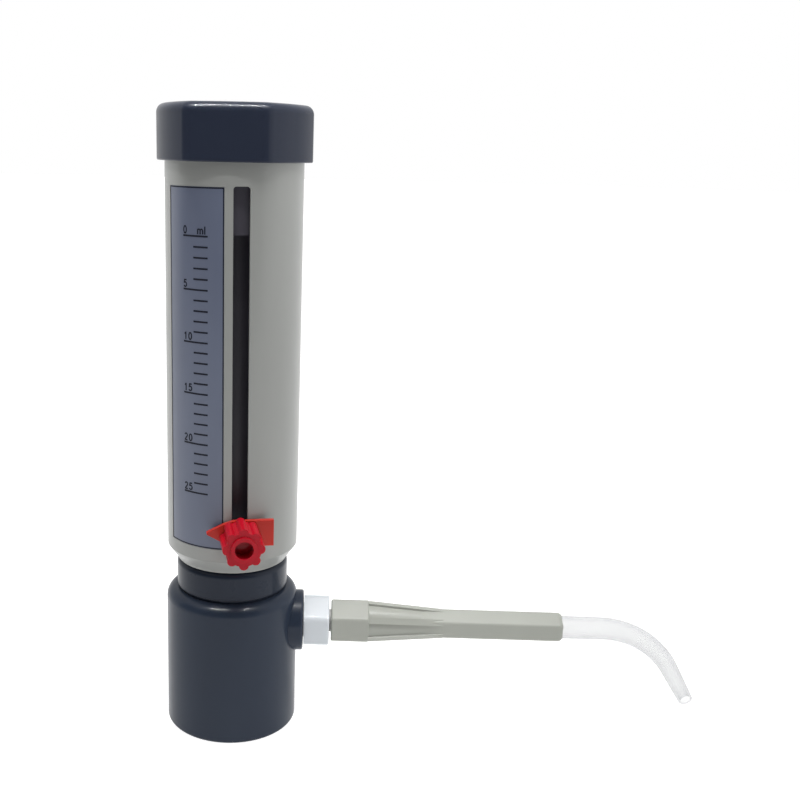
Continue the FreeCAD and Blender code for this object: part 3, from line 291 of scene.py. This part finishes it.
def dark_ring():
    n = moulded_plastic("dark_ring", (0.017, 0.023, 0.037), 0.28, shine=0.06)
    lacquer(n, 0.2, 0.02)
    return n.material


def dark_cap():
    n = moulded_plastic("dark_cap", (0.019, 0.024, 0.040), 0.3, streaks=True, shine=0.06)
    lacquer(n, 0.2, 0.02)
    return n.material


def dark_jacket():
    return moulded_plastic("dark_jacket", (0.040, 0.037, 0.050), 0.42, grain=1200.0).material


def grey_sleeve():
    n = moulded_plastic("grey_sleeve", (0.248, 0.254, 0.243), 0.34, streaks=True, spread=0.055)
    lacquer(n, 0.12, 0.03)
    return n.material


def grey_arm():
    n = moulded_plastic("grey_arm", (0.345, 0.355, 0.32), 0.36, spread=0.03, shine=0.12)
    lacquer(n, 0.15, 0.03)
    return n.material


def white_nut():
    n = moulded_plastic("white_nut", (0.59, 0.625, 0.655), 0.33, spread=0.015, shine=0.12)
    lacquer(n, 0.15, 0.03)
    return n.material


def white_polymer():
    n = moulded_plastic("white_polymer", (0.82, 0.82, 0.79), 0.45, grain=2600.0, spread=0.02)
    return n.material


def scale_film():
    """Printed film: blue-grey, faintly cloudy, fine surface grain."""
    n = Nodes("scale_label")
    cloud = n.noise(45.0, detail=3.0, along=n.stretched((1.0, 1.0, 0.3)))
    tint = n.ramp(cloud, *MIDDLE, (0.088, 0.103, 0.153), (0.100, 0.118, 0.172))
    n.join(tint, n.shader.inputs["Base Color"])
    patches = n.noise(120.0, detail=4.0)
    n.join(n.span(patches, *MIDDLE, 0.3, 0.38), n.shader.inputs["Roughness"])
    n.join(n.bump(n.noise(2500.0), 0.000001), n.shader.inputs["Normal"])
    return n.material


def print_ink():
    n = Nodes("print_ink")
    worn = n.noise(900.0, detail=3.0)
    n.join(n.ramp(worn, 0.3, 0.75, (0.002, 0.003, 0.010), (0.004, 0.006, 0.016)),
           n.shader.inputs["Base Color"])
    n.join(n.span(worn, *MIDDLE, 0.4, 0.55), n.shader.inputs["Roughness"])
    n.shader.inputs["Specular IOR Level"].default_value = 0.2
    return n.material


BORE_MARK = "bore_wall"  # 1 on the jet's inner wall, less near its tip, 0 outside


def clear_jet():
    """Milky fluoropolymer tube, which lets much of the light straight through; its colour is
    painted darker at grazing angles, a painted shade that outlines the tube.
    """
    n = Nodes("clear_jet")
    cloud = n.noise(160.0, detail=4.0)
    n.join(n.span(cloud, *MIDDLE, 0.26, 0.36), n.shader.inputs["Roughness"])
    n.shader.inputs["IOR"].default_value = 1.34
    n.shader.inputs["Specular IOR Level"].default_value = 0.12
    painted_rim_shade_and_opacity = n.add("ShaderNodeLayerWeight")
    painted_rim_shade_and_opacity.inputs["Blend"].default_value = 0.3
    # painted shade: the base colour darkens where the surface turns away from view, drawing a
    # dark outline; the same facing also makes the edges more opaque
    n.join(n.ramp(painted_rim_shade_and_opacity.outputs["Facing"], 0.1, 0.6, (0.435, 0.445, 0.455), (0.29, 0.30, 0.315)),
           n.shader.inputs["Base Color"])
    outside = n.span(painted_rim_shade_and_opacity.outputs["Facing"], 0.0, 1.0, 0.3, 0.6)
    bore = n.add("ShaderNodeAttribute", attribute_name=BORE_MARK)
    clearer = n.span(bore.outputs["Fac"], 0.0, 1.0, 1.0, 0.1)
    milky = n.add("ShaderNodeMath", operation="MULTIPLY")
    n.join(outside, milky.inputs[0])
    n.join(clearer, milky.inputs[1])
    n.join(milky.outputs["Value"], n.shader.inputs["Alpha"])
    return n.material


def clear_glass():
    n = Nodes("clear_glass")
    haze = n.noise(60.0, detail=3.0)
    n.join(n.ramp(haze, *MIDDLE, (0.93, 0.96, 0.955), (0.97, 0.985, 0.98)),
           n.shader.inputs["Base Color"])
    n.join(n.span(haze, *MIDDLE, 0.02, 0.05), n.shader.inputs["Roughness"])
    n.shader.inputs["IOR"].default_value = 1.47
    n.shader.inputs["Transmission Weight"].default_value = 0.95
    return n.material


def valve_ball():
    """Red glass ball, polished."""
    n = Nodes("valve_ball")
    swirl = n.noise(700.0, detail=2.0)
    n.join(n.ramp(swirl, *MIDDLE, (0.5, 0.03, 0.03), (0.62, 0.06, 0.05)),
           n.shader.inputs["Base Color"])
    n.join(n.span(swirl, *MIDDLE, 0.03, 0.07), n.shader.inputs["Roughness"])
    n.shader.inputs["Transmission Weight"].default_value = 0.4
    return n.material


def gasket_rubber():
    n = Nodes("gasket")
    bloom = n.noise(300.0, detail=4.0)
    n.join(n.ramp(bloom, 0.3, 0.8, (0.012, 0.012, 0.012), (0.03, 0.03, 0.029)),
           n.shader.inputs["Base Color"])
    n.join(n.span(bloom, *MIDDLE, 0.55, 0.7), n.shader.inputs["Roughness"])
    n.join(n.bump(n.noise(3000.0), 0.00001), n.shader.inputs["Normal"])
    return n.material


def spring_steel():
    n = Nodes("spring_steel")
    drawn = n.noise(2200.0, detail=3.0, along=n.stretched((0.1, 1.0, 1.0)))
    n.join(n.ramp(drawn, *MIDDLE, (0.5, 0.5, 0.5), (0.66, 0.66, 0.65)),
           n.shader.inputs["Base Color"])
    n.join(n.span(drawn, *MIDDLE, 0.2, 0.32), n.shader.inputs["Roughness"])
    n.shader.inputs["Metallic"].default_value = 1.0
    return n.material


def red_plastic(name, colour, gloss, glow):
    """Slightly see-through red moulding."""
    n = moulded_plastic(name, colour, gloss, grain=1500.0, spread=0.05, shine=0.08)
    lacquer(n, 0.15, 0.03)
    n.shader.inputs["Subsurface Weight"].default_value = glow
    n.shader.inputs["Subsurface Radius"].default_value = (1.0, 0.12, 0.06)
    n.shader.inputs["Subsurface Scale"].default_value = 0.0015
    return n.material


MATERIALS = {
    "dark_housing": dark_housing,
    "dark_ring": dark_ring,
    "dark_cap": dark_cap,
    "dark_jacket": dark_jacket,
    "grey_sleeve": grey_sleeve,
    "scale_label": scale_film,
    "grey_arm": grey_arm,
    "white_nut": white_nut,
    "white_polymer": white_polymer,
    "clear_jet": clear_jet,
    "clear_glass": clear_glass,
    "valve_ball": valve_ball,
    "gasket": gasket_rubber,
    "spring_steel": spring_steel,
    "red_pointer": lambda: red_plastic("red_pointer", (0.40, 0.026, 0.018), 0.3, 0.2),
    "red_knob": lambda: red_plastic("red_knob", (0.36, 0.004, 0.014), 0.28, 0.1),
}


def dress_nodes():
    """Each CAD node gets the made material of its slot in the record."""
    made = {slot: make() for slot, make in MATERIALS.items()}
    for entry in frame["record"]["subparts"]:
        piece = NODES[entry["node"]]
        material = made[entry["material_slot"]]
        if piece.material_slots:
            for place in piece.material_slots:
                place.material = material
        else:
            piece.data.materials.append(material)
    return made


# ---------------------------------------------------------------- print on the scale

# angles are in degrees from the slot's middle, other sizes in mm
SCALE_TURN = 10.8  # the slot's middle, from -Y towards +X
PRINT_RADIUS = 26.44
PRINT_DEPTH = 0.1
BAR_STEP = 1.5  # degrees between points along a bar
ZERO_MARK = 204.04
MARK_PITCH = 3.928
FULL_VOLUME = 25
NUMBER_STEP = 5
LINE_HALF = 0.33
LONG_START = -50.8
LONG_END = -27.2
SHORT_START = -40.3
UNIT_START = -36.6
UNIT_WIDTH = 2.6
UNIT_GAP = 0.1
DIGIT_HEIGHT = 3.1
DIGIT_WIDTH = 1.85
DIGIT_PITCH = 2.3
DIGIT_LIFT = 0.6
STROKE_WIDTH = 1.0  # of the box for a sign that is one upright stroke
PEN_WIDTH = 0.54
BORDER_SIDES = (-69.2, -13.9)
BORDER_HEIGHTS = (83.95, 221.55)
BORDER_THICK = 0.4


def skin(mesh, rings):
    """Faces between each ring of corners and the next."""
    count = len(rings[0])
    for before, after in zip(rings, rings[1:]):
        for index in range(count):
            nearby = (index + 1) % count
            mesh.faces.new((before[index], before[nearby], after[nearby], after[index]))


def on_scale(angle, height, radius):
    """A point on the label; angle in degrees from the slot's middle, sizes in mm."""
    turn = math.radians(angle + SCALE_TURN)
    return Vector((
        radius * math.sin(turn) * MM,
        -radius * math.cos(turn) * MM,
        height * MM,
    ))


def curved_bar(mesh, first, last, low, high):
    """A thin printed bar on the label, bent round the sleeve."""
    steps = max(1, math.ceil((last - first) / BAR_STEP))
    rings = []
    for step in range(steps + 1):
        angle = first + (last - first) * step / steps
        ring = []
        for radius, height in (
            (PRINT_RADIUS - PRINT_DEPTH, low),
            (PRINT_RADIUS, low),
            (PRINT_RADIUS, high),
            (PRINT_RADIUS - PRINT_DEPTH, high),
        ):
            ring.append(mesh.verts.new(on_scale(angle, height, radius)))
        rings.append(ring)
    skin(mesh, rings)
    mesh.faces.new(rings[0][::-1])
    mesh.faces.new(rings[-1])


def pen_stroke(mesh, points):
    """One printed stroke of even width; points are (across, up) in mm on the label."""
    half = PEN_WIDTH / 2
    rings = []
    last = len(points) - 1
    for index, point in enumerate(points):
        before = points[max(0, index - 1)]
        after = points[min(last, index + 1)]
        along = Vector((after[0] - before[0], after[1] - before[1])).normalized()
        side = Vector((-along.y, along.x)) * half
        ring = []
        for radius, sign in (
            (PRINT_RADIUS - PRINT_DEPTH, 1),
            (PRINT_RADIUS, 1),
            (PRINT_RADIUS, -1),
            (PRINT_RADIUS - PRINT_DEPTH, -1),
        ):
            across = point[0] + sign * side.x
            height = point[1] + sign * side.y
            angle = math.degrees(across / PRINT_RADIUS)
            ring.append(mesh.verts.new(on_scale(angle, height, radius)))
        rings.append(ring)
    skin(mesh, rings)
    mesh.faces.new(rings[0][::-1])
    mesh.faces.new(rings[-1])


def arc(middle, radii, first, last, steps=14):
    """Points along part of an ellipse; angles in degrees."""
    points = []
    for step in range(steps + 1):
        angle = math.radians(first + (last - first) * step / steps)
        points.append((
            middle[0] + radii[0] * math.cos(angle),
            middle[1] + radii[1] * math.sin(angle),
        ))
    return points


def sign_strokes(sign):
    """Strokes of one plain figure or letter, in a box one wide and one high."""
    if sign == "0":
        return [arc((0.5, 0.5), (0.5, 0.5), 0, 360, 32)]
    if sign == "1":
        return [[(0.12, 0.74), (0.4, 0.86), (0.58, 1.0)], [(0.6, 1.06), (0.6, -0.06)]]
    if sign == "2":
        hook = arc((0.5, 0.72), (0.48, 0.28), 165, -35)
        return [hook + [(0.4, 0.27), (0.04, 0.02)], [(-0.08, 0.0), (1.06, 0.0)]]
    if sign == "5":
        bowl = arc((0.46, 0.33), (0.52, 0.33), 125, -155)
        return [[(1.0, 1.0), (0.16, 1.0)], [(0.22, 1.05), (0.06, 0.5)], bowl]
    if sign == "m":
        first = arc((0.25, 0.46), (0.25, 0.2), 180, 0, 8) + [(0.5, -0.06)]
        second = arc((0.75, 0.46), (0.25, 0.2), 180, 0, 8) + [(1.0, -0.06)]
        return [[(0.0, 0.7), (0.0, -0.06)], first, second]
    return [[(0.5, 1.06), (0.5, -0.06)]]


def printed_sign(mesh, sign, across, low, width):
    for stroke in sign_strokes(sign):
        points = []
        for point in stroke:
            points.append((
                across + PEN_WIDTH / 2 + point[0] * (width - PEN_WIDTH),
                low + PEN_WIDTH / 2 + point[1] * (DIGIT_HEIGHT - PEN_WIDTH),
            ))
        pen_stroke(mesh, points)


def finish_piece(name, mesh, material, body):
    bmesh.ops.recalc_face_normals(mesh, faces=mesh.faces)
    data = bpy.data.meshes.new(name)
    mesh.to_mesh(data)
    mesh.free()
    data.materials.append(material)
    piece = bpy.data.objects.new(name, data)
    bpy.context.scene.collection.objects.link(piece)
    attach(piece, body)
    return piece


def scale_marks(material):
    """A mark for every millilitre, longer at every fifth."""
    mesh = bmesh.new()
    for volume in range(FULL_VOLUME + 1):
        height = ZERO_MARK - MARK_PITCH * volume
        start = LONG_START if volume % NUMBER_STEP == 0 else SHORT_START
        curved_bar(mesh, start, LONG_END, height - LINE_HALF, height + LINE_HALF)
    finish_piece("scale_marks", mesh, material, "plunger")


def scale_numbers(material):
    """0 to 25 beside the long marks, and the unit beside the 0."""
    mesh = bmesh.new()
    start = math.radians(LONG_START) * PRINT_RADIUS
    for volume in range(0, FULL_VOLUME + 1, NUMBER_STEP):
        low = ZERO_MARK - MARK_PITCH * volume + DIGIT_LIFT
        for index, sign in enumerate(str(volume)):
            printed_sign(mesh, sign, start + index * DIGIT_PITCH, low, DIGIT_WIDTH)
    unit = math.radians(UNIT_START) * PRINT_RADIUS
    low = ZERO_MARK + DIGIT_LIFT
    printed_sign(mesh, "m", unit, low, UNIT_WIDTH)
    printed_sign(mesh, "l", unit + UNIT_WIDTH + UNIT_GAP, low, STROKE_WIDTH)
    finish_piece("scale_numbers", mesh, material, "plunger")


def scale_border(material):
    """Thin dark line round the label's edge."""
    mesh = bmesh.new()
    first, last = BORDER_SIDES
    low, high = BORDER_HEIGHTS
    side = math.degrees(BORDER_THICK / PRINT_RADIUS)
    curved_bar(mesh, first, last, low, low + BORDER_THICK)
    curved_bar(mesh, first, last, high - BORDER_THICK, high)
    curved_bar(mesh, first, first + side, low + BORDER_THICK, high - BORDER_THICK)
    curved_bar(mesh, last - side, last, low + BORDER_THICK, high - BORDER_THICK)
    finish_piece("scale_border", mesh, material, "plunger")


# ---------------------------------------------------------------- bottle thread


RING_STEP = 6.0  # degrees between points round the thread


def bottle_thread(material):
    """Ridge of the GL45 thread inside the base, 4 mm pitch."""
    root = 22.85
    crest = 21.75
    pitch = 4.0
    first = 1.6
    length = 8.2
    turns = length / pitch
    count = int(turns * 360.0 / RING_STEP)
    fade = 8  # rings over which the ridge rises from the wall at each end
    lowest = 0.12  # share of the ridge's height at its very ends
    foot_half = 1.25
    crest_half = 0.45
    mesh = bmesh.new()
    rings = []
    for step in range(count + 1):
        angle = 2 * math.pi * turns * step / count
        height = first + length * step / count
        run_in = min(1.0, step / fade, (count - step) / fade)
        tip = root + (crest - root) * max(lowest, run_in)
        profile = (
            (root, -foot_half),
            (tip, -crest_half),
            (tip, crest_half),
            (root, foot_half),
        )
        ring = []
        for radius, shift in profile:
            point = Vector((radius * math.cos(angle), radius * math.sin(angle), height + shift))
            ring.append(mesh.verts.new(point * MM))
        rings.append(ring)
    skin(mesh, rings)
    mesh.faces.new(rings[0])
    mesh.faces.new(rings[-1][::-1])
    piece = finish_piece("bottle_thread_ridge", mesh, material, "base")
    softened = piece.modifiers.new("softened", "BEVEL")
    softened.width = 0.15 * MM
    softened.segments = 2
    softened.limit_method = "ANGLE"


# ---------------------------------------------------------------- discharge jet

ARM_HEIGHT = 43.1
JET_START = 116.6
JET_BEND = 154.5  # where the straight run ends
JET_BEND_RADIUS = 35.0
JET_BEND_ANGLE = math.radians(59.5)
JET_TAIL = 17.0
JET_RADII = (4.83, 4.6, 3.0)  # at the start, where the bend starts, and at the tip
JET_WALLS = (1.0, 1.0, 0.9)
JET_EASE = 0.55  # how steeply the taper sets in, as a share of its mean slope
MILKY_END = 5.0  # the bore grows milkier over this length, up to the tip
TIP_MARK = 0.4  # what the bore's mark falls to at the tip


def jet_place(distance):
    """Centre and direction of the jet's line, that far from its start, in mm."""
    straight = JET_BEND - JET_START
    arc = JET_BEND_RADIUS * JET_BEND_ANGLE
    if distance <= straight:
        return Vector((JET_START + distance, 0.0, ARM_HEIGHT)), Vector((1.0, 0.0, 0.0))
    turn = min(distance - straight, arc) / JET_BEND_RADIUS
    centre = Vector((
        JET_BEND + JET_BEND_RADIUS * math.sin(turn),
        0.0,
        ARM_HEIGHT - JET_BEND_RADIUS * (1.0 - math.cos(turn)),
    ))
    along = Vector((math.cos(turn), 0.0, -math.sin(turn)))
    return centre + along * max(0.0, distance - straight - arc), along


def jet_size(sizes, distance, length):
    """A size at that distance, easing from the straight run into the taper."""
    straight = JET_BEND - JET_START
    if distance <= straight:
        return sizes[0] + (sizes[1] - sizes[0]) * distance / straight
    part = (distance - straight) / (length - straight)
    eased = part * (JET_EASE + (1.0 - JET_EASE) * part)
    return sizes[1] + (sizes[2] - sizes[1]) * eased


def jet_tube(material):
    """Formed tube with a rounded lip; stands for the jet's plain solid."""
    length = JET_BEND - JET_START + JET_BEND_RADIUS * JET_BEND_ANGLE + JET_TAIL
    lip = JET_WALLS[2] / 2
    around = 48
    outline = []
    stations = 120
    for step in range(stations + 1):
        distance = (length - lip) * step / stations
        outline.append((distance, jet_size(JET_RADII, distance, length)))
    lip_steps = 8
    middle = JET_RADII[2] - lip
    for step in range(1, lip_steps):
        angle = math.pi * step / lip_steps
        outline.append((length - lip + lip * math.sin(angle), middle + lip * math.cos(angle)))
    outer_rings = len(outline)
    for step in range(stations, -1, -1):
        distance = (length - lip) * step / stations
        radius = jet_size(JET_RADII, distance, length) - jet_size(JET_WALLS, distance, length)
        outline.append((distance, radius))
    mesh = bmesh.new()
    bore_mark = mesh.verts.layers.float.new(BORE_MARK)
    rings = []
    for distance, radius in outline:
        centre, along = jet_place(distance)
        side = Vector((0.0, 1.0, 0.0))
        upright = side.cross(along)
        ring = []
        for step in range(around):
            angle = 2 * math.pi * step / around
            offset = (side * math.cos(angle) + upright * math.sin(angle)) * radius
            corner = mesh.verts.new((centre + offset) * MM)
            if len(rings) >= outer_rings:
                to_tip = min(1.0, (length - distance) / MILKY_END)
                corner[bore_mark] = TIP_MARK + (1.0 - TIP_MARK) * to_tip
            ring.append(corner)
        rings.append(ring)
    skin(mesh, rings + rings[:1])
    for face in mesh.faces:
        face.smooth = True
    for ring in (rings[0], rings[-1]):
        for index in range(around):
            edge = mesh.edges.get((ring[index], ring[(index + 1) % around]))
            edge.smooth = False
    piece = finish_piece("jet_tube", mesh, material, "arm")
    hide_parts("discharge_jet")


# ---------------------------------------------------------------- outlet spring

SPRING_START = 18.2
SPRING_END = 33.1
SPRING_PITCH = 2.1
SPRING_RADIUS = 2.1
WIRE_RADIUS = 0.3


def spring_coil(material):
    """Round-wire spring in place of the hidden CAD spring; the real one shortens as the outlet
    ball lifts.
    """
    turns = (SPRING_END - SPRING_START) / SPRING_PITCH
    stations_per_turn = 28
    stations = int(turns * stations_per_turn)
    around = 12
    lengthwise = Vector((1.0, 0.0, 0.0))
    mesh = bmesh.new()
    rings = []
    for step in range(stations + 1):
        share = step / stations
        angle = 2 * math.pi * turns * share
        outward = Vector((0.0, math.cos(angle), math.sin(angle)))
        place = Vector((SPRING_START + share * (SPRING_END - SPRING_START), 0.0, ARM_HEIGHT))
        centre = place + outward * SPRING_RADIUS
        ring = []
        for corner in range(around):
            turn = 2 * math.pi * corner / around
            offset = (outward * math.cos(turn) + lengthwise * math.sin(turn)) * WIRE_RADIUS
            ring.append(mesh.verts.new((centre + offset) * MM))
        rings.append(ring)
    skin(mesh, rings)
    for face in mesh.faces:
        face.smooth = True
    mesh.faces.new(rings[0][::-1])
    mesh.faces.new(rings[-1])
    piece = finish_piece("spring_coil", mesh, material, "base")
    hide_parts("outlet_spring")
    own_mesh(piece)


# ---------------------------------------------------------------- everything together

make_camera()
make_lights()
make_floor()
front_card()
SET = dress_nodes()
INK = print_ink()
scale_marks(INK)
scale_numbers(INK)
scale_border(INK)
bottle_thread(SET["dark_housing"])
jet_tube(SET["clear_jet"])
spring_coil(SET["spring_steel"])
bpy.context.scene.view_settings.view_transform = "Standard"
